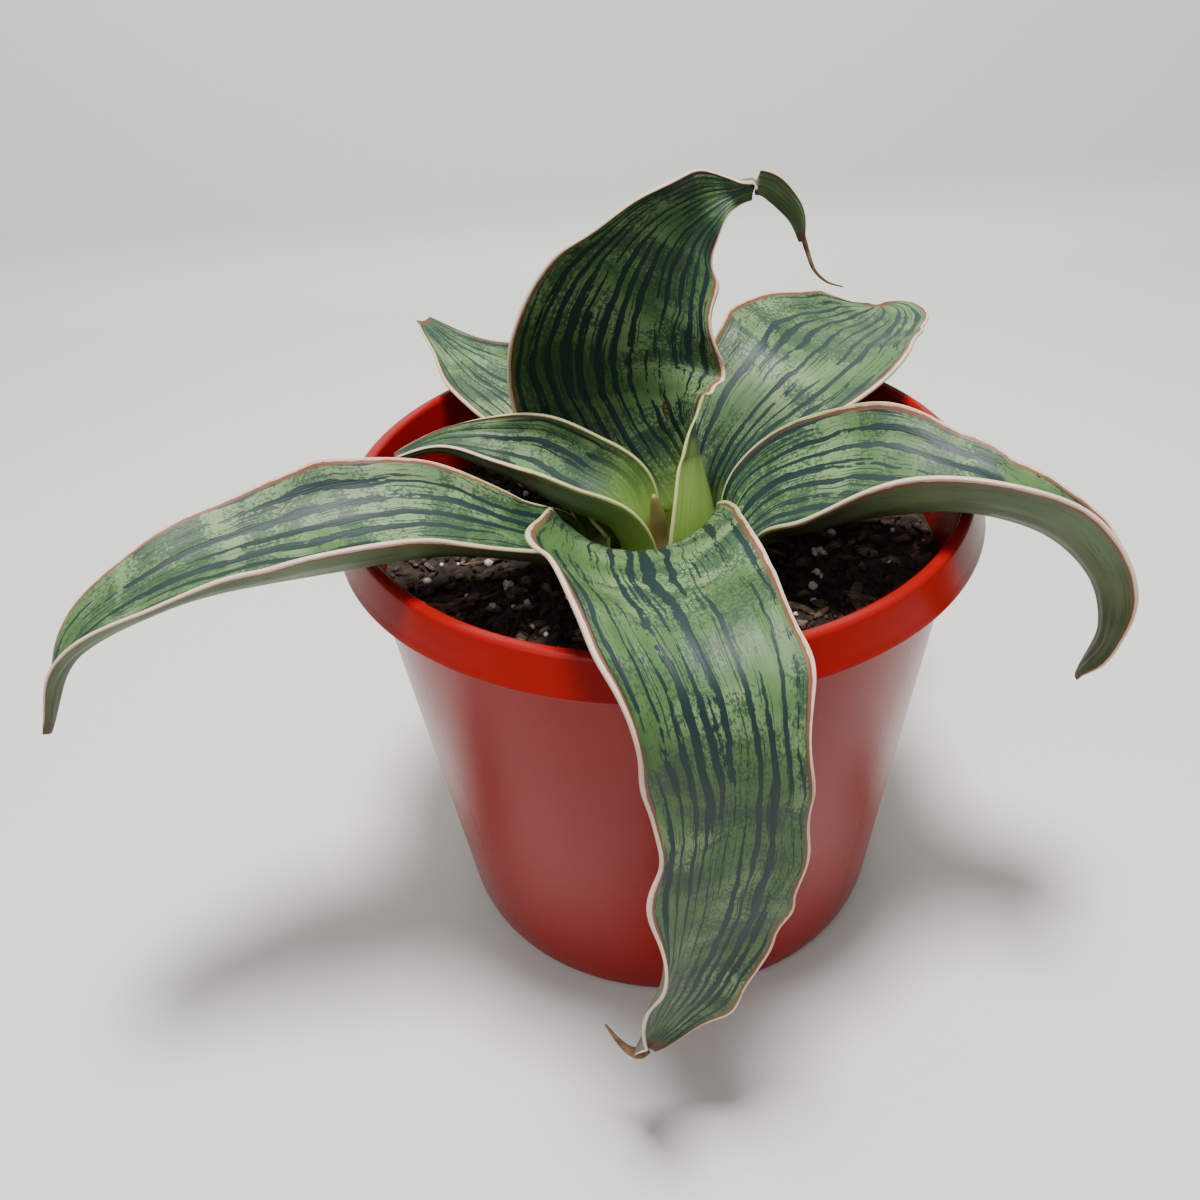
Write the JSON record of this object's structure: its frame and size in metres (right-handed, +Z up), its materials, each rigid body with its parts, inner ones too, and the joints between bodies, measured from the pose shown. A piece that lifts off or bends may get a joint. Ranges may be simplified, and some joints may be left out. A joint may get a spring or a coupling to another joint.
{
  "type": "potted snake plant",
  "caption": "Rosette of broad arching striped succulent leaves growing from potting mix in a tapered round plastic pot with a rolled rim band.",
  "frame": {"origin": "centre of the pot's flat base", "axes": "+Z up along the pot's axis; the long hanging leaf falls over the -Y side and +X is on the viewer's right of it"},
  "size_m": [0.3059, 0.2382, 0.2443],
  "materials": {
    "red_plastic": "glossy",
    "leaf_skin": "waxy satin, dark stripes",
    "new_leaf_skin": "waxy satin",
    "potting_mix": "crumbly matt",
    "crown_flesh": "satin",
    "bark": "rough matt",
    "perlite": "rough matt",
    "twig": "rough matt"
  },
  "bodies": {
    "root": {"pot": "red_plastic", "soil": "potting_mix", "crown": "crown_flesh", "leaf_left": "leaf_skin", "leaf_right": "leaf_skin", "leaf_front": "leaf_skin", "leaf_tall": "leaf_skin", "leaf_back_right": "leaf_skin", "leaf_back_left": "leaf_skin", "leaf_inner": "leaf_skin", "new_leaf": "new_leaf_skin", "bark_chip_1": "bark", "bark_chip_2": "bark", "bark_chip_3": "bark", "bark_chip_4": "bark", "bark_chip_5": "bark", "bark_chip_6": "bark", "bark_chip_7": "bark", "bark_chip_8": "bark", "bark_chip_9": "bark", "perlite_grain_1": "perlite", "perlite_grain_2": "perlite", "perlite_grain_3": "perlite", "perlite_grain_4": "perlite", "perlite_grain_5": "perlite", "perlite_grain_6": "perlite", "perlite_grain_7": "perlite", "perlite_grain_8": "perlite", "perlite_grain_9": "perlite", "perlite_grain_10": "perlite", "twig_1": "twig", "twig_2": "twig"}
  },
  "joints": []
}
